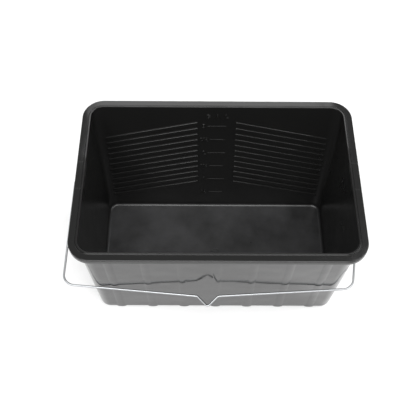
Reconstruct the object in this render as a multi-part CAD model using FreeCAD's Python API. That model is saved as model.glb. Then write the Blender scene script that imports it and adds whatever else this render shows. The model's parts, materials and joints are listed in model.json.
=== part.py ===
import FreeCAD, Part
import math
import os

# A rectangular roller bucket with a hinged wire bail, in millimetres.
# Origin: middle of the flat base. +X runs along the width, +Y to the roll-off wall, +Z up.

# Bucket: outside sizes of the base and of the rim
HEIGHT = 214.0
BASE_WIDTH = 336.0
BASE_DEPTH = 177.0
BASE_CORNER = 16.0
RIM_WIDTH = 362.0
RIM_DEPTH = 246.0
RIM_CORNER = 28.0
RIM_Y = -3.0                # the front wall leans out more than the back one
WALL = 2.2
BASE_ROUND = 6.0            # outside, where the walls turn into the base
FLOOR_ROUND = 4.5           # inside, where the walls turn into the floor

# Rim: a raised lip round the opening, a flat flange, and a skirt with a groove above it
LIP_WIDTH = 2.4
LIP_PROUD = 0.7
FLANGE_REACH = 9.3          # from the outside of the wall to the edge of the flange
FLANGE_THICKNESS = 2.6      # down from the top of the lip
FLANGE_ROUND = 0.8
GROOVE_DEPTH = 0.8
GROOVE_HEIGHT = 0.9
SKIRT_DROP = 8.5
SKIRT_THICKNESS = 2.2

# Flutes that stiffen the walls outside
FLUTE_PITCH = 45.5
FLUTE_WIDTH = 11.0
FLUTE_PROUD = 0.6
FLUTES_EACH_WAY_FRONT = 3   # each side of the middle one
FLUTES_EACH_WAY_SIDE = 1

# Roll-off ribs: two fans of raised bars on the inside of the back wall
RIB_COUNT = 12
RIB_PITCH = 11.3
RIB_LOWEST = 59.0           # height of the inner end of the lowest rib
RIB_SLOPE = 13.5            # degrees, falling towards the side wall
RIB_WIDTH = 5.0
RIB_PROUD = 1.5
RIB_SUNK = 1.0              # how far the bar reaches into the wall
RIB_INNER_X = 28.0
RIB_OUTER_X = 155.5

# Level scale between the two fans
US_GALLON = 3785411.784
SCALE_STEP = US_GALLON / 2
SCALE_MARKS = 6
MARK_LONG = 26.0
MARK_SHORT = 20.0
MARK_HEIGHT = 1.6
MARK_PROUD = 0.6
MARK_SUNK = 1.0

# Gate mark in the middle of the floor
GATE_RING = 6.0
GATE_NUB = 1.4
GATE_LINE = 0.8
GATE_PROUD = 0.5

# Bail wire and the two ears that carry it
WIRE = 2.8
PIVOT_Z = 198.0
PIVOT_X = 183.2             # wire centre where each leg meets its ear
EAR_WIDTH = 41.0
EAR_BOTTOM = 188.0
EAR_WALL = 2.5
EAR_CORNER = 5.0
EAR_HOLE = 4.0
TIP_X = 175.0
TIP_LENGTH = 9.0
EYE_BEND = 3.0
LEFT_CORNER_X = 206.0       # the springy bail is pushed over to the left
LEFT_CORNER_DROP = 141.0
RIGHT_CORNER_DROP = 146.0
CORNER_BEND = 13.0
NOTCH_X = -12.0
NOTCH_WIDTH = 28.0
NOTCH_TOP_DROP = 157.4
NOTCH_TIP_DROP = 172.5
NOTCH_BEND = 5.0
NOTCH_TIP_BEND = 3.0
REST_GAP = 0.3              # between the resting bail and the wall it leans on

STEPS = 200                 # slices used to measure the bucket's contents


def section(z, inset):
    """Width, depth, corner radius and middle Y of the wall at height z, inset from its outside."""
    share = z / HEIGHT
    top_width = RIM_WIDTH - 2 * FLANGE_REACH
    top_depth = RIM_DEPTH - 2 * FLANGE_REACH
    top_corner = RIM_CORNER - FLANGE_REACH
    width = BASE_WIDTH + share * (top_width - BASE_WIDTH) - 2 * inset
    depth = BASE_DEPTH + share * (top_depth - BASE_DEPTH) - 2 * inset
    corner = BASE_CORNER + share * (top_corner - BASE_CORNER) - inset
    return width, depth, corner, share * RIM_Y


def rounded_rectangle(width, depth, corner, middle_y, z):
    """Closed wire of four sides and four corner arcs."""
    half_x = width / 2
    half_y = depth / 2
    edges = []
    for quarter in range(4):
        turn = math.radians(90 * quarter)
        sign_x = 1 if quarter in (0, 3) else -1
        sign_y = 1 if quarter in (0, 1) else -1
        centre_x = sign_x * (half_x - corner)
        centre_y = middle_y + sign_y * (half_y - corner)
        corner_points = []
        for angle in (turn, turn + math.pi / 4, turn + math.pi / 2):
            x = centre_x + corner * math.cos(angle)
            y = centre_y + corner * math.sin(angle)
            corner_points.append(FreeCAD.Vector(x, y, z))
        if edges:
            edges.append(Part.LineSegment(last_point, corner_points[0]).toShape())
        else:
            first_point = corner_points[0]
        edges.append(Part.Arc(*corner_points).toShape())
        last_point = corner_points[2]
    edges.append(Part.LineSegment(last_point, first_point).toShape())
    return Part.Wire(edges)


def tapered_block(low, high, inset):
    """Solid inside the wall's taper between two heights, with corners that widen upwards."""
    low_width, low_depth, low_corner, low_y = section(low, inset)
    high_width, high_depth, high_corner, high_y = section(high, inset)
    # A wedge tapers along its own Y, so its Z stands for -Y until it is turned upright.
    block = Part.makeWedge(
        -low_width / 2, low, -low_y - low_depth / 2,
        -high_y - high_depth / 2, -high_width / 2,
        low_width / 2, high, -low_y + low_depth / 2,
        -high_y + high_depth / 2, high_width / 2,
    )
    block.rotate(FreeCAD.Vector(0, 0, 0), FreeCAD.Vector(1, 0, 0), 90)
    upright = [edge for edge in block.Edges if edge.BoundBox.ZLength > WALL]
    return block.makeFillet(low_corner, high_corner, upright)


def straight_block(inset, low, high):
    """Upright solid that follows the rim's outline, inset from it."""
    width = RIM_WIDTH - 2 * inset
    depth = RIM_DEPTH - 2 * inset
    outline = rounded_rectangle(width, depth, RIM_CORNER - inset, RIM_Y, low)
    return Part.Face(outline).extrude(FreeCAD.Vector(0, 0, high - low))


def level_edges(solid, z):
    """Edges that lie flat at height z."""
    box = [edge.BoundBox for edge in solid.Edges]
    pairs = zip(solid.Edges, box)
    return [edge for edge, b in pairs if abs(b.ZMin - z) < 0.01 and abs(b.ZMax - z) < 0.01]


def box_between(low, high):
    """Box from its lowest to its highest corner."""
    size = [b - a for a, b in zip(low, high)]
    return Part.makeBox(*size, FreeCAD.Vector(*low))


def outer_body(proud):
    """Outside of the walls and base, with the turn into the base rounded."""
    body = tapered_block(0, HEIGHT, -proud)
    return body.makeFillet(BASE_ROUND, level_edges(body, 0))


def cavity():
    """The space inside the walls, carried on above the rim."""
    space = tapered_block(WALL, HEIGHT + WALL, WALL)
    return space.makeFillet(FLOOR_ROUND, level_edges(space, WALL))


def flutes():
    """Shallow pads down the walls, cut from a slightly larger body."""
    half = FLUTE_WIDTH / 2
    slabs = []
    for step in range(-FLUTES_EACH_WAY_FRONT, FLUTES_EACH_WAY_FRONT + 1):
        x = step * FLUTE_PITCH
        slabs.append(box_between((x - half, -RIM_DEPTH, 0), (x + half, RIM_DEPTH, HEIGHT)))
    for step in range(-FLUTES_EACH_WAY_SIDE, FLUTES_EACH_WAY_SIDE + 1):
        y = step * FLUTE_PITCH
        slabs.append(box_between((-RIM_WIDTH, y - half, 0), (RIM_WIDTH, y + half, HEIGHT)))
    grid = slabs[0].multiFuse(slabs[1:])
    return outer_body(FLUTE_PROUD).common(grid)


def flange():
    """The flat top of the rim, with its outer edge rounded, and the lip that stands on it."""
    top = HEIGHT - LIP_PROUD
    bottom = HEIGHT - FLANGE_THICKNESS
    plate = straight_block(0, bottom, top)
    plate = plate.makeFillet(FLANGE_ROUND, level_edges(plate, top))
    lip = Part.Face(rounded_rectangle(*section(HEIGHT, WALL - LIP_WIDTH), bottom))
    return plate.fuse(lip.extrude(FreeCAD.Vector(0, 0, FLANGE_THICKNESS)))


def skirt():
    """The band that hangs from the flange, with the groove above it."""
    bottom = HEIGHT - SKIRT_DROP
    groove_top = HEIGHT - FLANGE_THICKNESS
    groove_bottom = groove_top - GROOVE_HEIGHT
    band = straight_block(0, bottom, groove_bottom)
    neck = straight_block(GROOVE_DEPTH, groove_bottom, groove_top)
    inside = straight_block(SKIRT_THICKNESS, bottom, groove_top)
    return band.fuse(neck).cut(inside)


def ear(side):
    """A pocket under the rim: an outer plate with the bail's hole, and a web at each end."""
    outer = side * RIM_WIDTH / 2
    inner = side * (RIM_WIDTH / 2 - EAR_WALL)
    deep = side * (BASE_WIDTH / 2 - FLANGE_REACH)
    half = EAR_WIDTH / 2
    top = HEIGHT - FLANGE_THICKNESS
    low = (min(outer, deep), RIM_Y - half, EAR_BOTTOM)
    high = (max(outer, deep), RIM_Y + half, top)
    block = box_between(low, high)
    lower_corners = [e for e in level_edges(block, EAR_BOTTOM) if e.BoundBox.YLength < 0.01]
    block = block.makeFillet(EAR_CORNER, lower_corners)
    pocket_low = (min(inner, deep), RIM_Y - half + EAR_WALL, EAR_BOTTOM - EAR_CORNER)
    pocket_high = (max(inner, deep), RIM_Y + half - EAR_WALL, top)
    pocket = box_between(pocket_low, pocket_high)
    start = FreeCAD.Vector(min(outer, inner) - EAR_WALL, RIM_Y, PIVOT_Z)
    hole = Part.makeCylinder(EAR_HOLE / 2, 3 * EAR_WALL, start, FreeCAD.Vector(1, 0, 0))
    return block.cut(pocket).cut(hole)


def back_wall_point(x, z):
    """Point on the inside face of the back wall."""
    width, depth, corner, middle_y = section(z, WALL)
    return FreeCAD.Vector(x, middle_y + depth / 2, z)


def back_wall_tilt():
    """Lean of the back wall's inside face away from upright, in degrees."""
    span = back_wall_point(0, HEIGHT) - back_wall_point(0, 0)
    return math.degrees(math.atan2(span.y, span.z))


def on_back_wall(shape, place):
    """Turn a shape built in the XY plane to stand on the back wall, facing into the bucket."""
    shape.rotate(FreeCAD.Vector(0, 0, 0), FreeCAD.Vector(1, 0, 0), 90 - back_wall_tilt())
    shape.translate(place)
    return shape


def roll_off_rib(side, number):
    """One raised bar with round ends, falling towards the side wall."""
    inner_z = RIB_LOWEST + number * RIB_PITCH
    length = (RIB_OUTER_X - RIB_INNER_X) / math.cos(math.radians(RIB_SLOPE))
    half = RIB_WIDTH / 2
    bar = box_between((0, -half, -RIB_SUNK), (length, half, RIB_PROUD))
    height = RIB_SUNK + RIB_PROUD
    for x in (0, length):
        end = Part.makeCylinder(half, height, FreeCAD.Vector(x, 0, -RIB_SUNK))
        bar = bar.fuse(end)
    direction = -RIB_SLOPE if side > 0 else 180 + RIB_SLOPE
    bar.rotate(FreeCAD.Vector(0, 0, 0), FreeCAD.Vector(0, 0, 1), direction)
    return on_back_wall(bar, back_wall_point(side * RIB_INNER_X, inner_z))


def contents(z):
    """Volume held below height z."""
    slice_height = (z - WALL) / STEPS
    total = 0.0
    for step in range(STEPS):
        middle = WALL + (step + 0.5) * slice_height
        width, depth, corner, _ = section(middle, WALL)
        total += (width * depth - (4 - math.pi) * corner ** 2) * slice_height
    return total


def level_of(volume):
    """Height of the surface when the bucket holds this volume, by halving the interval."""
    low = WALL
    high = HEIGHT
    while high - low > 0.01:
        middle = (low + high) / 2
        if contents(middle) < volume:
            low = middle
        else:
            high = middle
    return low


def scale_mark(number):
    """A raised bar on the back wall: long at whole gallons, short at halves."""
    length = MARK_LONG if number % 2 == 0 else MARK_SHORT
    level = level_of(number * SCALE_STEP)
    half = MARK_HEIGHT / 2
    bar = box_between((-length / 2, -half, -MARK_SUNK), (length / 2, half, MARK_PROUD))
    return on_back_wall(bar, back_wall_point(0, level))


def gate_mark():
    """Ring and nub left where the plastic entered the mould."""
    base = FreeCAD.Vector(0, 0, WALL / 2)
    height = WALL / 2 + GATE_PROUD
    ring = Part.makeCylinder(GATE_RING + GATE_LINE / 2, height, base)
    ring = ring.cut(Part.makeCylinder(GATE_RING - GATE_LINE / 2, height, base))
    return ring.fuse(Part.makeCylinder(GATE_NUB, height + GATE_PROUD, base))


def bucket():
    """The whole moulding."""
    outside = [flutes(), flange(), skirt(), ear(-1), ear(1)]
    shell = outer_body(0).multiFuse(outside).cut(cavity())
    details = [gate_mark()]
    for side in (-1, 1):
        details += [roll_off_rib(side, number) for number in range(RIB_COUNT)]
    details += [scale_mark(number) for number in range(1, SCALE_MARKS + 1)]
    return shell.multiFuse(details).removeSplitter().Solids[0]


def rounded_path(points, bends):
    """Straight runs through the points, with an arc of the given radius at each inner point."""
    edges = []
    last = points[0]
    for before, point, after, bend in zip(points, points[1:], points[2:], bends):
        back = (before - point).normalize()
        onward = (after - point).normalize()
        half_angle = back.getAngle(onward) / 2
        reach = bend / math.tan(half_angle)
        start = point + back * reach
        end = point + onward * reach
        bisector = (back + onward).normalize()
        middle = point + bisector * (bend / math.sin(half_angle) - bend)
        edges.append(Part.LineSegment(last, start).toShape())
        edges.append(Part.Arc(start, middle, end).toShape())
        last = end
    edges.append(Part.LineSegment(last, points[-1]).toShape())
    return Part.Wire(edges)


def bail_outline():
    """Corner points of the wire while it hangs straight down, seen from the front."""
    half_notch = NOTCH_WIDTH / 2
    places = [
        (-TIP_X, TIP_LENGTH),
        (-TIP_X, 0),
        (-PIVOT_X, 0),
        (-LEFT_CORNER_X, LEFT_CORNER_DROP),
        (NOTCH_X - half_notch, NOTCH_TOP_DROP),
        (NOTCH_X, NOTCH_TIP_DROP),
        (NOTCH_X + half_notch, NOTCH_TOP_DROP),
        (PIVOT_X, RIGHT_CORNER_DROP),
        (PIVOT_X, 0),
        (TIP_X, 0),
        (TIP_X, TIP_LENGTH),
    ]
    return [FreeCAD.Vector(x, RIM_Y, PIVOT_Z - drop) for x, drop in places]


def lean(side):
    """Angle from hanging straight down to resting on the front (-1) or back (1) wall, in degrees."""
    base_reach = BASE_DEPTH / 2 - side * RIM_Y
    top_reach = RIM_DEPTH / 2 - FLANGE_REACH
    wall_tilt = math.atan2(top_reach - base_reach, HEIGHT)
    wall_distance = base_reach * math.cos(wall_tilt) + PIVOT_Z * math.sin(wall_tilt)
    wire_distance = wall_distance + FLUTE_PROUD + WIRE / 2 + REST_GAP
    return math.degrees(math.asin(wire_distance / RIGHT_CORNER_DROP) - wall_tilt)


def bail():
    """One wire: hooked tips, two legs, and a cross run with a hanging notch."""
    points = bail_outline()
    left_bends = [EYE_BEND, EYE_BEND, CORNER_BEND, NOTCH_BEND]
    bends = left_bends + [NOTCH_TIP_BEND] + left_bends[::-1]
    path = rounded_path(points, bends)
    ring = Part.Wire(Part.makeCircle(WIRE / 2, points[0], FreeCAD.Vector(0, 0, 1)))
    wire = path.makePipeShell([ring], True, True)
    pivot = FreeCAD.Vector(0, RIM_Y, PIVOT_Z)
    wire.rotate(pivot, FreeCAD.Vector(1, 0, 0), -lean(-1))
    return wire


def main():
    os.makedirs("parts", exist_ok=True)
    for name, make in (("bucket", bucket), ("bail", bail)):
        shape = make()
        shape.exportStep(f"parts/{name}.step")
        print(name, shape.ShapeType, shape.isValid(), len(shape.Solids), round(shape.Volume))
        print(shape.optimalBoundingBox(True, False))
    print("lean", lean(-1), lean(1), "travel", 360 - lean(-1) - lean(1))
    print("levels", [round(level_of(number * SCALE_STEP), 1) for number in range(1, SCALE_MARKS + 1)])


main()
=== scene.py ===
# %% [markdown]
# A rectangular roller bucket has only two pieces: one black moulding and one bent wire. Its design,
# with every size, the ear holes and the swing of the wire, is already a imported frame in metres.
# This lesson loads that frame and builds the finish around it. The frame could be shown as it is,
# but a moulding is judged by its rounded edges, so the moulding and the wire are modelled again
# here, to the same sizes, and ride on the frame.

# %% Load the frame
import bpy
import bmesh
import json
import math
from mathutils import Matrix, Vector


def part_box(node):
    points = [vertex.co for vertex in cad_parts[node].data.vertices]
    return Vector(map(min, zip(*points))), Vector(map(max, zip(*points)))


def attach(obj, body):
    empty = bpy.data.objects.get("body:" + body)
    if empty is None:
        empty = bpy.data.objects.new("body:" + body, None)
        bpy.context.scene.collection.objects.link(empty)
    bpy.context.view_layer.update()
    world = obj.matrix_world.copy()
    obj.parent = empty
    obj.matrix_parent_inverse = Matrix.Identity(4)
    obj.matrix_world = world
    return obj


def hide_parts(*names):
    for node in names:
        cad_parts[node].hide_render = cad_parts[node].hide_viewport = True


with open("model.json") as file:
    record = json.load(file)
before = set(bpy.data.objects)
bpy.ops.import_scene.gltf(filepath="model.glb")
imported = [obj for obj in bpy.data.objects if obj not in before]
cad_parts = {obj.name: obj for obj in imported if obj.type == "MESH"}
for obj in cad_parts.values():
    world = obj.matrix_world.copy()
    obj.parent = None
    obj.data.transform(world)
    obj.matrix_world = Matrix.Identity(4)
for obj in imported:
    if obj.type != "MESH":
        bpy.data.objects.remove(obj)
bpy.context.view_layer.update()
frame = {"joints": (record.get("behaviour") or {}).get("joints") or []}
bucket_low, bucket_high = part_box("bucket")
MM = 0.001
print("bucket size in mm:", [round((b - a) / MM, 1) for a, b in zip(bucket_low, bucket_high)])

# %% [markdown]
# Everything hangs on a few sizes. The height, the rim and the middle of the rim come from the
# frame. The base, the wall and the corner radii belong to the moulding, and are named once here.

# %% Sizes of the moulding
HEIGHT = bucket_high[2]
RIM_WIDTH = bucket_high[0] - bucket_low[0]
RIM_DEPTH = bucket_high[1] - bucket_low[1]
RIM_Y = (bucket_high[1] + bucket_low[1]) / 2
RIM_CORNER = 28 * MM
BASE_WIDTH = 336 * MM
BASE_DEPTH = 177 * MM
BASE_CORNER = 16 * MM
WALL = 2.2 * MM
FLANGE_REACH = 9.3 * MM


def wall_outline(z, inset):
    """Width, depth, corner radius, middle Y and height of the wall at height z."""
    share = z / HEIGHT
    width = BASE_WIDTH + share * (RIM_WIDTH - 2 * FLANGE_REACH - BASE_WIDTH) - 2 * inset
    depth = BASE_DEPTH + share * (RIM_DEPTH - 2 * FLANGE_REACH - BASE_DEPTH) - 2 * inset
    corner = BASE_CORNER + share * (RIM_CORNER - FLANGE_REACH - BASE_CORNER) - inset
    return width, depth, corner, share * RIM_Y, z


def rim_outline(z, inset):
    """The same for the rim, whose sides stand upright."""
    return RIM_WIDTH - 2 * inset, RIM_DEPTH - 2 * inset, RIM_CORNER - inset, RIM_Y, z


print("opening in mm:", [round(value / MM, 1) for value in wall_outline(HEIGHT, WALL)[:2]])

# %% [markdown]
# Modelling by operators means: nothing else selected, one object in edit mode, and the vertices,
# edges or faces chosen by a test on their place. Four small helpers keep that tidy.


# %% Helpers for modelling by operators
TOUCHING = 0.01 * MM
SLIVER = 0.005 * MM
EDGE_SEGMENTS = 3


def start_piece(name):
    """An empty mesh object in edit mode, so that primitives are added straight into its mesh."""
    bpy.ops.object.select_all(action="DESELECT")
    piece = bpy.data.objects.new(name, bpy.data.meshes.new(name))
    bpy.context.collection.objects.link(piece)
    bpy.context.view_layer.objects.active = piece
    piece.select_set(True)
    bpy.ops.object.mode_set(mode="EDIT")
    return piece


def choose(piece, kind, test):
    """Select the verts, edges or faces whose middle passes the test."""
    bpy.ops.mesh.select_mode(type={"verts": "VERT", "edges": "EDGE", "faces": "FACE"}[kind])
    bpy.ops.mesh.select_all(action="DESELECT")
    mesh = bmesh.from_edit_mesh(piece.data)
    for item in getattr(mesh, kind):
        if kind == "verts":
            item.select_set(test(item.co))
        elif kind == "edges":
            item.select_set(test(item.verts[0].co, item.verts[1].co))
        else:
            item.select_set(test(item.calc_center_median(), item.normal))
    mesh.select_flush_mode()
    bmesh.update_edit_mesh(piece.data)


def finish_piece(piece, body, edge=0.0, smooth_angle=40):
    """Leave edit mode, round the edges, put the place in the mesh, and tie the piece to a body."""
    if piece.mode == "EDIT":
        bpy.ops.mesh.select_all(action="SELECT")
        bpy.ops.mesh.remove_doubles(threshold=TOUCHING)
        bpy.ops.mesh.normals_make_consistent(inside=False)
        bpy.ops.object.mode_set(mode="OBJECT")
    bpy.ops.object.select_all(action="DESELECT")
    piece.select_set(True)
    bpy.context.view_layer.objects.active = piece
    bpy.ops.object.transform_apply(location=True, rotation=True, scale=True)
    if edge:
        bevel = piece.modifiers.new("rounded edges", "BEVEL")
        bevel.width = edge
        bevel.segments = EDGE_SEGMENTS
        bevel.limit_method = "ANGLE"
        bevel.angle_limit = math.radians(smooth_angle)
        bpy.ops.object.modifier_apply(modifier=bevel.name)
        bpy.ops.object.mode_set(mode="EDIT")
        bpy.ops.mesh.select_all(action="SELECT")
        bpy.ops.mesh.dissolve_degenerate(threshold=SLIVER)
        bpy.ops.object.mode_set(mode="OBJECT")
    bpy.ops.object.shade_smooth_by_angle(angle=math.radians(smooth_angle))
    weighted = piece.modifiers.new("flat faces stay flat", "WEIGHTED_NORMAL")
    weighted.keep_sharp = True
    bpy.ops.object.modifier_apply(modifier=weighted.name)
    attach(piece, body)
    pieces[piece.name] = piece
    print(piece.name, "has", len(piece.data.polygons), "faces")


def copy_piece(piece, name, move):
    """A copy with its own mesh, moved by a vector."""
    bpy.ops.object.select_all(action="DESELECT")
    piece.select_set(True)
    bpy.context.view_layer.objects.active = piece
    bpy.ops.object.duplicate(linked=False)
    twin = bpy.context.active_object
    twin.name = name
    bpy.ops.transform.translate(value=move)
    return twin


pieces = {}
print("helpers ready; edges are rounded in", EDGE_SEGMENTS, "segments")

# %% [markdown]
# The camera comes first, so that every later piece can be judged from the same place. It looks down
# steeply from the front, a little to the left of the middle, and is rolled by about one degree.

# %% Camera
CAMERA_ELEVATION = 58.0
CAMERA_TURN = 0.77
CAMERA_ROLL = 0.93
CAMERA_DISTANCE = 0.9986
CAMERA_LENS = 61.2
AIM = Vector((-0.0117, 0.0144, HEIGHT / 2))

bpy.ops.object.camera_add()
camera = bpy.context.active_object
camera.data.lens = CAMERA_LENS
turn = Matrix.Rotation(math.radians(-CAMERA_TURN), 4, "Z")
tip = Matrix.Rotation(math.radians(90 - CAMERA_ELEVATION), 4, "X")
roll = Matrix.Rotation(math.radians(CAMERA_ROLL), 4, "Z")
back_off = Matrix.Translation((0, 0, CAMERA_DISTANCE))
camera.matrix_world = Matrix.Translation(AIM) @ turn @ tip @ roll @ back_off
bpy.context.scene.camera = camera
print("camera at", [round(value, 3) for value in camera.matrix_world.translation])

# %% [markdown]
# The shell of the moulding: floor, four leaning walls, and a rim that turns outwards and down into
# a skirt. It could be a box with a Solidify modifier, but the groove under the flange is finer than
# the wall is thick, and the offset would fold over itself there. So the section is walked once, all
# the way round: up the inside, over the rim, down the skirt, up its back, under the flange and down
# the outside. Each stop is a rounded rectangle, made from a plane primitive with its corners
# beveled, and each is bridged to the one before. Level faces fall by a tenth of a millimetre, as
# moulded faces do. The bridge needs it too: two outlines in one plane can be joined the wrong way
# round.

# %% The outlines that the section passes through
LIP_WIDTH = 2.4 * MM
LIP_PROUD = 0.7 * MM
FLANGE_THICKNESS = 2.6 * MM
GROOVE_DEPTH = 0.8 * MM
GROOVE_HEIGHT = 0.9 * MM
SKIRT_DROP = 8.5 * MM
SKIRT_THICKNESS = 2.2 * MM
GROOVE_SLOPE = 0.15 * MM
FALL = 0.1 * MM
LINE_DEPTH = 0.5 * MM
LINE_WIDTH = 0.8 * MM
CORNER_SEGMENTS = 16

flange_top = HEIGHT - LIP_PROUD
flange_bottom = HEIGHT - FLANGE_THICKNESS
groove_bottom = flange_bottom - GROOVE_HEIGHT
skirt_bottom = HEIGHT - SKIRT_DROP
lip_inset = FLANGE_REACH + WALL - LIP_WIDTH

outlines = [
    wall_outline(WALL, WALL),
    wall_outline(HEIGHT - FALL, WALL),
    rim_outline(HEIGHT, lip_inset),
    rim_outline(flange_top - LINE_DEPTH, lip_inset - GROOVE_SLOPE),
    rim_outline(flange_top - LINE_DEPTH - FALL, lip_inset - LINE_WIDTH),
    rim_outline(flange_top, lip_inset - LINE_WIDTH - GROOVE_SLOPE),
    rim_outline(flange_top - FALL, 0),
    rim_outline(flange_bottom + GROOVE_SLOPE, 0),
    rim_outline(flange_bottom, GROOVE_DEPTH),
    rim_outline(groove_bottom, GROOVE_DEPTH),
    rim_outline(groove_bottom - GROOVE_SLOPE, 0),
    rim_outline(skirt_bottom, 0),
    rim_outline(skirt_bottom + FALL, SKIRT_THICKNESS),
    rim_outline(flange_bottom, SKIRT_THICKNESS),
    wall_outline(flange_bottom - FALL, 0),
    wall_outline(0, 0),
]
print(len(outlines), "outlines")


# %% Bridge the outlines into the shell
NEAR = 0.02 * MM


def add_outline(width, depth, corner, middle_y, z):
    """A rounded rectangle as one face, selected."""
    bpy.ops.mesh.select_all(action="DESELECT")
    bpy.ops.mesh.primitive_plane_add(size=1, location=(0, middle_y, z))
    bpy.ops.transform.resize(value=(width, depth, 1), center_override=(0, middle_y, z))
    bpy.ops.mesh.bevel(offset=corner, segments=CORNER_SEGMENTS, affect="VERTICES")


def lies_on(place, outline):
    """Whether a vertex belongs to this outline."""
    width, depth, corner, middle_y, z = outline
    beside = abs(place.x) - (width / 2 - corner)
    beyond = abs(place.y - middle_y) - (depth / 2 - corner)
    reach = math.hypot(max(beside, 0), max(beyond, 0)) + min(max(beside, beyond), 0)
    return abs(place.z - z) < NEAR and abs(reach - corner) < NEAR


shell = start_piece("bucket_shell")
for outline in outlines:
    add_outline(*outline)
choose(shell, "faces", lambda middle, normal: middle.z > 2 * WALL)
bpy.ops.mesh.delete(type="ONLY_FACE")
for lower, upper in zip(outlines, outlines[1:]):
    choose(shell, "verts", lambda place: lies_on(place, lower) or lies_on(place, upper))
    bpy.ops.mesh.select_mode(type="EDGE")
    bpy.ops.mesh.bridge_edge_loops()
bpy.ops.mesh.select_all(action="SELECT")
bpy.ops.mesh.normals_make_consistent(inside=False)
shell.update_from_editmode()
print("shell has", len(shell.data.vertices), "vertices")

# %% Round the floor, the base and the rim
FLOOR_ROUND = 4.5 * MM
BASE_ROUND = 6.0 * MM
FLANGE_ROUND = 0.8 * MM
LIP_ROUND = 0.5 * MM
SHELL_EDGE = 0.35 * MM
BROAD_SEGMENTS = 6
FINE_SEGMENTS = 4


def flat_at(z):
    """A test for edges that lie level at height z."""
    return lambda a, b: abs(a.z - z) < NEAR and abs(b.z - z) < NEAR


choose(shell, "edges", flat_at(WALL))
bpy.ops.mesh.bevel(offset=FLOOR_ROUND, segments=BROAD_SEGMENTS, offset_type="OFFSET")
choose(shell, "edges", flat_at(flange_top - FALL))
bpy.ops.mesh.bevel(offset=FLANGE_ROUND, segments=FINE_SEGMENTS, offset_type="OFFSET")
choose(shell, "edges", lambda a, b: flat_at(HEIGHT)(a, b) or flat_at(HEIGHT - FALL)(a, b))
bpy.ops.mesh.bevel(offset=LIP_ROUND, segments=FINE_SEGMENTS, offset_type="OFFSET")
choose(shell, "edges", flat_at(0))
bpy.ops.mesh.bevel(offset=BASE_ROUND, segments=BROAD_SEGMENTS, offset_type="OFFSET")
finish_piece(shell, "bucket_body", edge=SHELL_EDGE, smooth_angle=35)

# %% [markdown]
# Shallow flutes run down the outside and stop the flat walls from drumming. Each swells like a
# lens, a little more than half a millimetre proud. One flute is a cylinder pressed into an oval,
# with its hidden back half pressed flat, and copies are leaned to the slope of each wall.

# %% Flutes on the outside walls
FLUTE_PITCH = 45.5 * MM
FLUTE_WIDTH = 11 * MM
FLUTE_PROUD = 0.6 * MM
FLUTE_SUNK = 1.0 * MM
FLUTE_LOW = 2 * MM
FLUTE_SIDES = 48


def flute(name, length):
    """A swelling bar standing along Z, its proud side facing -Y, its foot at the origin."""
    pad = start_piece(name)
    thick = FLUTE_PROUD + FLUTE_SUNK
    half_width = FLUTE_WIDTH / 2 / math.sqrt(1 - (FLUTE_SUNK / thick) ** 2)
    centre = (0, FLUTE_SUNK, length / 2)
    bpy.ops.mesh.primitive_cylinder_add(
        vertices=FLUTE_SIDES, radius=1, depth=length, location=centre
    )
    bpy.ops.transform.resize(value=(half_width, thick, 1), center_override=centre)
    choose(pad, "verts", lambda place: place.y > FLUTE_SUNK)
    bpy.ops.transform.resize(value=(1, 0, 1), center_override=centre)
    bpy.ops.object.mode_set(mode="OBJECT")
    return pad


def face_y(side, z):
    """Y of the outside of the front (-1) or back (1) wall at height z."""
    _, depth, _, middle_y, _ = wall_outline(z, 0)
    return side * depth / 2 + middle_y


def face_x(side, z):
    """X of the outside of the left (-1) or right (1) wall at height z."""
    return side * wall_outline(z, 0)[0] / 2


# each row: the wall, its side, its turn about Z, how many flutes stand on each side of the middle
# one
rows = (
    ("front", -1, 0, 3, face_y),
    ("back", 1, math.pi, 3, face_y),
    ("left", -1, -math.pi / 2, 1, face_x),
    ("right", 1, math.pi / 2, 1, face_x),
)
for word, side, heading, most, face in rows:
    foot = face(side, FLUTE_LOW)
    top = face(side, flange_bottom)
    tilt = math.atan2(side * (top - foot), flange_bottom - FLUTE_LOW)
    length = math.hypot(top - foot, flange_bottom - FLUTE_LOW)
    upright = Matrix.Rotation(heading, 4, "Z") @ Matrix.Rotation(tilt, 4, "X")
    for step in range(-most, most + 1):
        pad = flute(f"flute_{word}_{step + most + 1}", length)
        along = step * FLUTE_PITCH
        place = (along, foot, FLUTE_LOW) if face is face_y else (foot, along, FLUTE_LOW)
        pad.matrix_world = Matrix.Translation(place) @ upright
        finish_piece(pad, "bucket_body", smooth_angle=60)

# %% [markdown]
# The bail hangs from two ears. Each is a pocket under the rim: an outer plate flush with the skirt,
# and a web at each end that ties it to the wall. A block is hollowed from below by an inset and an
# inward extrude, its lower corners are rounded, and the hole for the wire is cut through the plate
# with a Boolean. The plate stands a hair behind the skirt, so that two faces never share a plane.

# %% Ears
EAR_WIDTH = 41 * MM
EAR_BOTTOM = 188 * MM
EAR_WALL = 2.5 * MM
EAR_CORNER = 5 * MM
EAR_HOLE = 4 * MM
EAR_SET_BACK = 0.05 * MM
EAR_ROOT = 1.1 * WALL
EAR_EDGE = 0.25 * MM
hinge = next(joint for joint in frame["joints"] if joint["name"] == "bail_swing")
PIVOT = Vector(hinge["pos_m"])


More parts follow.
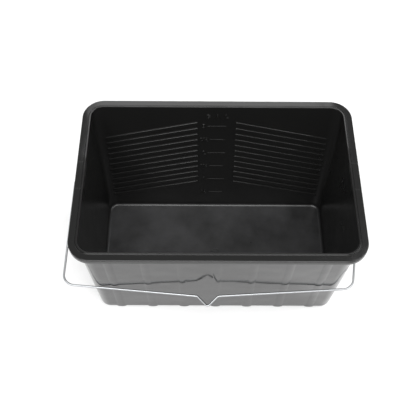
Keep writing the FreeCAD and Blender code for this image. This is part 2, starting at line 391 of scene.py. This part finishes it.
def ear(side, name):
    """One ear pocket on the left (-1) or right (1)."""
    outer = RIM_WIDTH / 2 - EAR_SET_BACK
    deep = wall_outline(EAR_BOTTOM, EAR_ROOT)[0] / 2
    middle = (side * (outer + deep) / 2, RIM_Y, (EAR_BOTTOM + flange_bottom) / 2)
    pocket = start_piece(name)
    size = (outer - deep, EAR_WIDTH, flange_bottom - EAR_BOTTOM)
    bpy.ops.mesh.primitive_cube_add(size=1, location=middle, scale=size)
    bottom = EAR_BOTTOM + NEAR
    choose(pocket, "edges", lambda a, b: max(a.z, b.z) < bottom and abs(a.y - b.y) < NEAR)
    bpy.ops.mesh.bevel(offset=EAR_CORNER, segments=BROAD_SEGMENTS)
    choose(pocket, "faces", lambda middle, normal: normal.z < -0.1)
    bpy.ops.mesh.inset(thickness=EAR_WALL)
    hollow = (0, 0, flange_bottom - EAR_BOTTOM - EAR_WALL)
    bpy.ops.mesh.extrude_region_move(TRANSFORM_OT_translate={"value": hollow})
    bpy.ops.object.mode_set(mode="OBJECT")
    hole_at = (side * (outer - EAR_WALL / 2), PIVOT.y, PIVOT.z)
    sideways = (0, math.pi / 2, 0)
    bpy.ops.mesh.primitive_cylinder_add(
        radius=EAR_HOLE / 2, depth=2 * EAR_WALL, location=hole_at, rotation=sideways
    )
    drill = bpy.context.active_object
    cut = pocket.modifiers.new("hole for the wire", "BOOLEAN")
    cut.object = drill
    cut.operation = "DIFFERENCE"
    bpy.ops.object.select_all(action="DESELECT")
    bpy.context.view_layer.objects.active = pocket
    pocket.select_set(True)
    bpy.ops.object.modifier_apply(modifier=cut.name)
    bpy.data.objects.remove(drill)
    finish_piece(pocket, "bucket_body", edge=EAR_EDGE, smooth_angle=50)


ear(-1, "ear_left")
ear(1, "ear_right")

# %% [markdown]
# The roll-off ribs squeeze paint out of the roller: two fans of twelve bars on the inside of the
# back wall, each falling towards its side wall so that paint runs back down. One bar is a low
# cylinder cut in half: half its vertices are moved out along X, and the top edge is beveled, so
# that one thin line of light runs along it and round its end. It is leaned to the wall once for
# each side, and then copied upwards.

# %% Roll-off ribs
RIB_COUNT = 12
RIB_PITCH = 11.3 * MM
RIB_LOWEST = 59 * MM
RIB_SLOPE = math.radians(13.5)
RIB_WIDTH = 5.0 * MM
RIB_PROUD = 1.5 * MM
RIB_SUNK = 1.0 * MM
RIB_ROUND = 0.7 * MM
RIB_SEGMENTS = 5
RIB_INNER_X = 28 * MM
RIB_OUTER_X = 155.5 * MM


def back_face(z):
    """Y of the inside of the back wall at height z."""
    _, depth, _, middle_y, _ = wall_outline(z, WALL)
    return middle_y + depth / 2


BACK_TILT = math.atan2(back_face(HEIGHT) - back_face(0), HEIGHT)
face_back_wall = Matrix.Rotation(math.pi / 2 - BACK_TILT, 4, "X")


def rib(side, name):
    """The lowest rib of one fan."""
    bar = start_piece(name)
    reach = (RIB_OUTER_X - RIB_INNER_X) / math.cos(RIB_SLOPE)
    middle = (0, 0, (RIB_PROUD - RIB_SUNK) / 2)
    bpy.ops.mesh.primitive_cylinder_add(
        radius=RIB_WIDTH / 2, depth=RIB_PROUD + RIB_SUNK, location=middle
    )
    choose(bar, "verts", lambda place: place.x > NEAR)
    bpy.ops.transform.translate(value=(reach, 0, 0))
    choose(bar, "edges", lambda a, b: min(a.z, b.z) > 0)
    bpy.ops.mesh.bevel(offset=RIB_ROUND, segments=RIB_SEGMENTS)
    bpy.ops.object.mode_set(mode="OBJECT")
    heading = -RIB_SLOPE if side > 0 else math.pi + RIB_SLOPE
    place = Matrix.Translation((side * RIB_INNER_X, back_face(RIB_LOWEST), RIB_LOWEST))
    bar.matrix_world = place @ face_back_wall @ Matrix.Rotation(heading, 4, "Z")
    finish_piece(bar, "bucket_body")
    return bar


for side, word in ((-1, "left"), (1, "right")):
    lowest = rib(side, f"rib_{word}_1")
    for number in range(1, RIB_COUNT):
        rise = number * RIB_PITCH
        lean_back = back_face(RIB_LOWEST + rise) - back_face(RIB_LOWEST)
        bar = copy_piece(lowest, f"rib_{word}_{number + 1}", (0, lean_back, rise))
        finish_piece(bar, "bucket_body")

# %% [markdown]
# Between the fans stands the level scale, a raised bar for each half gallon. The heights aren't
# spaced by eye: the inside is sliced, the slices are added up, and each bar is put where that
# volume is reached, as the mould maker would do it. Plain raised numerals stand beside the bars.

# %% Heights of the level marks
US_GALLON = 3785.411784e-6
SLICES = 4000


def level_of(volume):
    """Height of the paint when the bucket holds this volume."""
    slice_height = (HEIGHT - WALL) / SLICES
    filled = 0.0
    for number in range(SLICES):
        z = WALL + (number + 0.5) * slice_height
        width, depth, corner, _, _ = wall_outline(z, WALL)
        filled += (width * depth - (4 - math.pi) * corner ** 2) * slice_height
        if filled >= volume:
            return z
    return HEIGHT


levels = [level_of(number * US_GALLON / 2) for number in range(1, 7)]
print("levels in mm:", [round(level / MM, 1) for level in levels])

# %% Level marks, numerals and heading
MARK_LONG = 26 * MM
MARK_SHORT = 20 * MM
MARK_HEIGHT = 1.6 * MM
MARK_PROUD = 0.6 * MM
MARK_TAPER = 0.6
MARK_END_TAPER = 0.4 * MM
MARK_EDGE = 0.12 * MM
NUMERAL_X = -18 * MM
NUMERAL_SIZE = 10.5 * MM
FRACTION_SIZE = 8.5 * MM
HEADING_SIZE = 9 * MM
LETTER_PROUD = 1.2 * MM
LETTER_ROUND = 0.4 * MM
HEADING_SPACING = 2.6
HEADING_Z = 196.5 * MM


def on_back_wall(x, z):
    """Matrix that stands a flat shape on the inside of the back wall."""
    return Matrix.Translation((x, back_face(z), z)) @ face_back_wall


def level_mark(name, length, z):
    """One raised bar with drafted sides."""
    bar = start_piece(name)
    bpy.ops.mesh.primitive_cube_add(size=1, scale=(length, MARK_HEIGHT, 2 * MARK_PROUD))
    choose(bar, "faces", lambda middle, normal: normal.z > 0.9)
    bpy.ops.transform.resize(value=(1 - MARK_END_TAPER / length, MARK_TAPER, 1))
    bpy.ops.object.mode_set(mode="OBJECT")
    bar.matrix_world = on_back_wall(0, z)
    finish_piece(bar, "bucket_body", edge=MARK_EDGE)


def raised_text(name, words, size, x, z, spacing=1.0):
    """Plain lettering turned into a raised mesh."""
    bpy.ops.object.select_all(action="DESELECT")
    bpy.ops.object.text_add()
    letters = bpy.context.active_object
    letters.name = name
    letters.data.body = words
    letters.data.size = size
    letters.data.align_x = "CENTER"
    letters.data.align_y = "CENTER"
    letters.data.extrude = LETTER_PROUD - LETTER_ROUND
    letters.data.bevel_depth = LETTER_ROUND
    letters.data.bevel_resolution = 2
    letters.data.space_character = spacing
    bpy.ops.object.convert(target="MESH")
    letters = bpy.context.active_object
    letters.matrix_world = on_back_wall(x, z)
    bpy.ops.object.mode_set(mode="EDIT")
    finish_piece(letters, "bucket_body")


names = ("half", "1", "1_half", "2", "2_half", "3")
words = ("½", "1", "1½", "2", "2½", "3")
for number, (name, word, level) in enumerate(zip(names, words, levels)):
    whole = number % 2 == 1
    level_mark(f"level_mark_{name}", MARK_LONG if whole else MARK_SHORT, level)
    size = NUMERAL_SIZE if len(word) == 1 else FRACTION_SIZE
    raised_text(f"level_numeral_{name}", word, size, NUMERAL_X, level)
raised_text("scale_heading", "GAL", HEADING_SIZE, 0, HEADING_Z, HEADING_SPACING)

# %% [markdown]
# The gate mark is where the plastic entered the mould: a fine ring with a nub in the middle of the
# floor. A torus gives the ring and a sphere the nub, pressed to the same height. Their lower halves
# are pressed flatter still, so that they make a foot inside the floor and don't come near its
# underside.

# %% Gate mark
GATE_RING = 6 * MM
GATE_NUB = 1.4 * MM
GATE_PROUD = 0.7 * MM
GATE_FOOT = 0.5

on_floor = (0, 0, WALL)
gate = start_piece("gate_mark")
bpy.ops.mesh.primitive_torus_add(
    location=on_floor, major_radius=GATE_RING, minor_radius=GATE_PROUD
)
bpy.ops.mesh.select_all(action="DESELECT")
bpy.ops.mesh.primitive_uv_sphere_add(
    segments=24, ring_count=12, radius=GATE_NUB, location=on_floor
)
bpy.ops.transform.resize(value=(1, 1, GATE_PROUD / GATE_NUB), center_override=on_floor)
choose(gate, "verts", lambda place: place.z < WALL)
bpy.ops.transform.resize(value=(1, 1, GATE_FOOT), center_override=on_floor)
finish_piece(gate, "bucket_body")

# %% [markdown]
# Above each web of the ear pockets a faint line crosses the flange, where the thick plastic below
# set last. It is a low bar, tapered at the top like the level marks.

# %% Witness lines on the flange
WITNESS_PROUD = 0.25 * MM
WITNESS_WIDTH = 1.6 * MM
WITNESS_Y = 20.5 * MM
WITNESS_LENGTH = 8 * MM
WITNESS_TAPER = (0.95, 0.5, 1)
WITNESS_EDGE = 0.1 * MM

for side, word in ((-1, "left"), (1, "right")):
    for end, place_word in ((-1, "front"), (1, "back")):
        line = start_piece(f"witness_line_{word}_{place_word}")
        size = (WITNESS_LENGTH, WITNESS_WIDTH, 2 * WITNESS_PROUD)
        bpy.ops.mesh.primitive_cube_add(size=1, scale=size)
        choose(line, "faces", lambda middle, normal: normal.z > 0.9)
        bpy.ops.transform.resize(value=WITNESS_TAPER)
        bpy.ops.object.mode_set(mode="OBJECT")
        across = side * (RIM_WIDTH / 2 - FLANGE_ROUND - WITNESS_LENGTH / 2)
        place = (across, RIM_Y + end * WITNESS_Y, flange_top - FALL / 2)
        line.matrix_world = Matrix.Translation(place)
        finish_piece(line, "bucket_body", edge=WITNESS_EDGE)

# %% [markdown]
# The bail is one wire, and it is made as a wire former makes it: a round end is pushed out
# straight, then bent round a pin, then pushed out again. Extrude is the straight run, and spin is
# the bend. The corner points are worked out first with the wire hanging straight down from its
# pivot, and the run and the angle at each corner follow from them.

# %% The wire's corner points, seen from the front with the pivot at zero height
WIRE = 2.8 * MM
PIVOT_X = 183.2 * MM
TIP_X = 175 * MM
TIP_LENGTH = 9 * MM
LEFT_CORNER = (-206 * MM, -141 * MM)
RIGHT_CORNER = (PIVOT_X, -146 * MM)
NOTCH_X = -12 * MM
NOTCH_WIDTH = 28 * MM
NOTCH_TOP = -157.4 * MM
NOTCH_TIP = -172.5 * MM
EYE_BEND = 3 * MM
CORNER_BEND = 13 * MM
NOTCH_BEND = 5 * MM
NOTCH_TIP_BEND = 3 * MM
WIRE_SIDES = 16
DEGREES_PER_STEP = 8
WIRE_END_ROUND = 0.3 * MM

corners = [
    ((-TIP_X, -TIP_LENGTH), 0),
    ((-TIP_X, 0), EYE_BEND),
    ((-PIVOT_X, 0), EYE_BEND),
    (LEFT_CORNER, CORNER_BEND),
    ((NOTCH_X - NOTCH_WIDTH / 2, NOTCH_TOP), NOTCH_BEND),
    ((NOTCH_X, NOTCH_TIP), NOTCH_TIP_BEND),
    ((NOTCH_X + NOTCH_WIDTH / 2, NOTCH_TOP), NOTCH_BEND),
    (RIGHT_CORNER, CORNER_BEND),
    ((PIVOT_X, 0), EYE_BEND),
    ((TIP_X, 0), EYE_BEND),
    ((TIP_X, -TIP_LENGTH), 0),
]
places = [Vector((x, 0, z)) for (x, z), radius in corners]
bends = [radius for point, radius in corners]
print("corner points:", len(places))

# %% Push and bend the wire
bail = start_piece("bail_wire")
bpy.ops.mesh.primitive_circle_add(
    vertices=WIRE_SIDES, radius=WIRE / 2, fill_type="NGON", location=places[0]
)
at = places[0]
wire_length = 0.0
for before, corner, after, radius in zip(places, places[1:], places[2:], bends[1:]):
    onward = (after - corner).normalized()
    back = (before - corner).normalized()
    half_angle = back.angle(onward) / 2
    reach = radius / math.tan(half_angle)
    run = corner + back * reach - at
    bpy.ops.mesh.extrude_region_move(TRANSFORM_OT_translate={"value": run})
    centre = corner + (back + onward).normalized() * (radius / math.sin(half_angle))
    turn_angle = math.pi - 2 * half_angle
    turn_axis = onward.cross(-back).normalized()
    steps = max(3, round(math.degrees(turn_angle) / DEGREES_PER_STEP))
    bpy.ops.mesh.spin(steps=steps, angle=turn_angle, center=centre, axis=turn_axis)
    wire_length += run.length + radius * turn_angle
    at = corner + onward * reach
bpy.ops.mesh.extrude_region_move(TRANSFORM_OT_translate={"value": places[-1] - at})
wire_length += (places[-1] - at).length
bpy.ops.object.mode_set(mode="OBJECT")
print("wire length in mm:", round(wire_length / MM))

# %% [markdown]
# At rest the bail leans on the front wall. The lean follows from how far the wall stands from the
# pivot and how long the legs are, as in the design.

# %% Lean the bail on the front wall and fit it in its ears
REST_GAP = 0.3 * MM
base_reach = BASE_DEPTH / 2 + PIVOT.y
top_reach = RIM_DEPTH / 2 - FLANGE_REACH
wall_tilt = math.atan2(top_reach - base_reach, HEIGHT)
wall_distance = base_reach * math.cos(wall_tilt) + PIVOT.z * math.sin(wall_tilt)
wire_distance = wall_distance + FLUTE_PROUD + WIRE / 2 + REST_GAP
lean = math.asin(wire_distance / -RIGHT_CORNER[1]) - wall_tilt
bail.matrix_world = Matrix.Translation(PIVOT) @ Matrix.Rotation(-lean, 4, "X")
finish_piece(bail, "bail_body", edge=WIRE_END_ROUND, smooth_angle=50)
print("lean in degrees:", round(math.degrees(lean), 1))
print("bail box against the frame's, in mm:")
for mine, cad in zip((bail.bound_box[0], bail.bound_box[6]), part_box("bail")):
    print([round((a - b) / MM, 2) for a, b in zip(mine, cad)])

# %% [markdown]
# Two finishes. Black polypropylene is glossy but never optically flat: long soft waves where the
# wall shrank in the mould, a very fine grain, and a haze that makes the gloss uneven. All three are
# one shared node group with inputs for size and strength, because the wire uses it too, with a
# coarser grain for its zinc.

# %% Surface group shared by both finishes
def link(tree, source, target):
    tree.links.new(source, target)


surface = bpy.data.node_groups.new("worked_surface", "ShaderNodeTree")
surface.interface.new_socket("Place", in_out="INPUT", socket_type="NodeSocketVector")
for socket_name, value in (("Wave Scale", 12.0), ("Grain Scale", 900.0), ("Grain Share", 0.1)):
    socket = surface.interface.new_socket(
        socket_name, in_out="INPUT", socket_type="NodeSocketFloat"
    )
    socket.default_value = value
surface.interface.new_socket("Height", in_out="OUTPUT", socket_type="NodeSocketFloat")
surface.interface.new_socket("Haze", in_out="OUTPUT", socket_type="NodeSocketFloat")
entry = surface.nodes.new("NodeGroupInput")
leave = surface.nodes.new("NodeGroupOutput")
wave = surface.nodes.new("ShaderNodeTexNoise")
wave.inputs["Detail"].default_value = 2.0
grain = surface.nodes.new("ShaderNodeTexNoise")
grain.inputs["Detail"].default_value = 4.0
haze = surface.nodes.new("ShaderNodeTexNoise")
haze.inputs["Scale"].default_value = 9.0
haze.inputs["Detail"].default_value = 6.0
haze.inputs["Roughness"].default_value = 0.65
mixed = surface.nodes.new("ShaderNodeMix")
link(surface, entry.outputs["Place"], wave.inputs["Vector"])
link(surface, entry.outputs["Place"], grain.inputs["Vector"])
link(surface, entry.outputs["Place"], haze.inputs["Vector"])
link(surface, entry.outputs["Wave Scale"], wave.inputs["Scale"])
link(surface, entry.outputs["Grain Scale"], grain.inputs["Scale"])
link(surface, entry.outputs["Grain Share"], mixed.inputs["Factor"])
link(surface, wave.outputs["Fac"], mixed.inputs["A"])
link(surface, grain.outputs["Fac"], mixed.inputs["B"])
link(surface, mixed.outputs["Result"], leave.inputs["Height"])
link(surface, haze.outputs["Fac"], leave.inputs["Haze"])
print("group sockets:", len(surface.interface.items_tree))


# %% Materials
def new_finish(
    name, base_color, wave_scale, grain_scale, grain_share, bump_height, smooth, rough
):
    """A Principled finish: its roughness follows the haze, its bump the waves and the grain."""
    finish = bpy.data.materials.new(name)
    finish.use_nodes = True
    tree = finish.node_tree
    shader = tree.nodes["Principled BSDF"]
    shader.inputs["Base Color"].default_value = (*base_color, 1)
    place = tree.nodes.new("ShaderNodeTexCoord")
    marks = tree.nodes.new("ShaderNodeGroup")
    marks.node_tree = surface
    marks.inputs["Wave Scale"].default_value = wave_scale
    marks.inputs["Grain Scale"].default_value = grain_scale
    marks.inputs["Grain Share"].default_value = grain_share
    link(tree, place.outputs["Object"], marks.inputs["Place"])
    gloss = tree.nodes.new("ShaderNodeMapRange")
    gloss.inputs["From Min"].default_value = 0.3
    gloss.inputs["From Max"].default_value = 0.7
    gloss.inputs["To Min"].default_value = smooth
    gloss.inputs["To Max"].default_value = rough
    link(tree, marks.outputs["Haze"], gloss.inputs["Value"])
    link(tree, gloss.outputs["Result"], shader.inputs["Roughness"])
    bump = tree.nodes.new("ShaderNodeBump")
    bump.inputs["Distance"].default_value = bump_height
    link(tree, marks.outputs["Height"], bump.inputs["Height"])
    link(tree, bump.outputs["Normal"], shader.inputs["Normal"])
    return finish, shader


black_plastic, plastic_shader = new_finish(
    "black_plastic",
    base_color=(0.0075, 0.0075, 0.0073),
    wave_scale=14,
    grain_scale=1400,
    grain_share=0.002,
    bump_height=1.2 * MM,
    smooth=0.08,
    rough=0.17,
)
plastic_shader.inputs["IOR"].default_value = 1.5
galvanised_wire, wire_shader = new_finish(
    "galvanised_wire",
    base_color=(0.37, 0.38, 0.39),
    wave_scale=60,
    grain_scale=1800,
    grain_share=0.3,
    bump_height=0.15 * MM,
    smooth=0.26,
    rough=0.45,
)
wire_shader.inputs["Metallic"].default_value = 1.0
print("finishes:", black_plastic.name, "and", galvanised_wire.name)

# %% [markdown]
# The inside is hazier than the outside: that face shrank onto the core, and it is wiped and scraped
# in use. A face looks inwards when its normal points back to the middle of the bucket, and there
# the haze is added to the roughness. Nothing is painted, so it holds for the ribs and the lettering
# too.

# %% A hazier inside
INSIDE_HAZE = 0.18
tree = black_plastic.node_tree
place = tree.nodes.new("ShaderNodeTexCoord")
from_middle = tree.nodes.new("ShaderNodeVectorMath")
from_middle.operation = "SUBTRACT"
from_middle.inputs[1].default_value = (0, 0, HEIGHT / 2)
facing = tree.nodes.new("ShaderNodeVectorMath")
facing.operation = "DOT_PRODUCT"
inward = tree.nodes.new("ShaderNodeMath")
inward.operation = "LESS_THAN"
inward.inputs[1].default_value = 0.0
extra = tree.nodes.new("ShaderNodeMath")
extra.operation = "MULTIPLY_ADD"
extra.inputs[1].default_value = INSIDE_HAZE
gloss = plastic_shader.inputs["Roughness"].links[0].from_socket
link(tree, place.outputs["Object"], from_middle.inputs[0])
link(tree, place.outputs["Normal"], facing.inputs[0])
link(tree, from_middle.outputs["Vector"], facing.inputs[1])
link(tree, facing.outputs["Value"], inward.inputs[0])
link(tree, inward.outputs["Value"], extra.inputs[0])
link(tree, gloss, extra.inputs[2])
link(tree, extra.outputs["Value"], plastic_shader.inputs["Roughness"])
print("inside adds", INSIDE_HAZE, "to the roughness")

# %% [markdown]
# The floor looks the lightest part of the inside, because it catches a hazy reflection. Its
# light tone is painted sheen: below the height of the floor's rounded edge, on faces that
# look inwards, a broad noise mixes the black with a dull grey.

# %% Painted sheen on the floor
# painted sheen: a dull grey mixed into the black of the floor, standing in for its hazy reflection
PAINTED_SHEEN_GREY = (0.062, 0.062, 0.064, 1)
height = tree.nodes.new("ShaderNodeSeparateXYZ")
low = tree.nodes.new("ShaderNodeMapRange")
low.inputs["From Min"].default_value = WALL + FLOOR_ROUND
low.inputs["From Max"].default_value = WALL
sheen_noise = tree.nodes.new("ShaderNodeTexNoise")
sheen_noise.inputs["Scale"].default_value = 11.0
sheen_noise.inputs["Detail"].default_value = 8.0
sheen_noise.inputs["Roughness"].default_value = 0.62
patchy = tree.nodes.new("ShaderNodeMapRange")
patchy.inputs["From Min"].default_value = 0.35
patchy.inputs["From Max"].default_value = 0.7
patchy.inputs["To Min"].default_value = 0.1
patchy.inputs["To Max"].default_value = 0.8
inner_low = tree.nodes.new("ShaderNodeMath")
inner_low.operation = "MULTIPLY"
sheen_share = tree.nodes.new("ShaderNodeMath")
sheen_share.operation = "MULTIPLY"
blend = tree.nodes.new("ShaderNodeMix")
blend.data_type = "RGBA"
blend.inputs["A"].default_value = plastic_shader.inputs["Base Color"].default_value
blend.inputs["B"].default_value = PAINTED_SHEEN_GREY
link(tree, place.outputs["Object"], height.inputs[0])
link(tree, height.outputs["Z"], low.inputs["Value"])
link(tree, place.outputs["Object"], sheen_noise.inputs["Vector"])
link(tree, sheen_noise.outputs["Fac"], patchy.inputs["Value"])
link(tree, low.outputs["Result"], inner_low.inputs[0])
link(tree, inward.outputs["Value"], inner_low.inputs[1])
link(tree, inner_low.outputs["Value"], sheen_share.inputs[0])
link(tree, patchy.outputs["Result"], sheen_share.inputs[1])
# painted sheen: the noise, on low inward faces only, sets how much of the grey is mixed in
link(tree, sheen_share.outputs["Value"], blend.inputs["Factor"])
link(tree, blend.outputs["Result"], plastic_shader.inputs["Base Color"])
print("the finish has", len(tree.nodes), "nodes")

# %% Give the pieces their finish
for piece in pieces.values():
    piece.data.materials.clear()
    piece.data.materials.append(galvanised_wire if piece is bail else black_plastic)
print(len(pieces), "pieces")

# %% [markdown]
# The moulding's pieces together stand for the bucket's node, and the wire for the bail's.

# %% Hide the replaced parts of the frame and say what replaces what
for piece in pieces.values():
    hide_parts("bail" if piece is bail else "bucket")
print("bail wire replaces bail, and", len(pieces) - 1, "pieces replace bucket")

# %% [markdown]
# A white sweep: a pale floor, an even white surround, one broad soft light in front and overhead,
# and two weaker ones, at the right and behind, that keep the rim and the wire from going black.

# %% Floor and light
bpy.context.scene.view_settings.view_transform = "Standard"
bpy.ops.object.select_all(action="DESELECT")
bpy.ops.mesh.primitive_plane_add(size=8)
ground = bpy.context.active_object
ground.name = "studio_floor"
paper = bpy.data.materials.new("white_paper")
paper.use_nodes = True
paper_shader = paper.node_tree.nodes["Principled BSDF"]
paper_shader.inputs["Base Color"].default_value = (0.9, 0.9, 0.9, 1)
paper_shader.inputs["Roughness"].default_value = 0.9
ground.data.materials.append(paper)

world = bpy.data.worlds.new("white_studio")
world.use_nodes = True
world.node_tree.nodes["Background"].inputs["Color"].default_value = (1, 1, 1, 1)
world.node_tree.nodes["Background"].inputs["Strength"].default_value = 0.35
bpy.context.scene.world = world


def softbox(name, place, size, power):
    """A square light that faces the bucket."""
    bpy.ops.object.light_add(type="AREA", location=place)
    lamp = bpy.context.active_object
    lamp.name = name
    lamp.rotation_euler = (AIM - Vector(place)).to_track_quat("-Z", "Y").to_euler()
    lamp.data.shape = "SQUARE"
    lamp.data.size = size
    lamp.data.energy = power


softbox("key_softbox", (-0.2, -1.0, 1.5), size=1.6, power=43)
softbox("fill_softbox", (0.9, 0.2, 1.5), size=0.8, power=12)
softbox("back_softbox", (0.0, 1.35, 1.25), size=0.9, power=6)
print("floor size in m:", [round(value, 1) for value in ground.dimensions[:2]])

# %% Done
print("the scene is built")
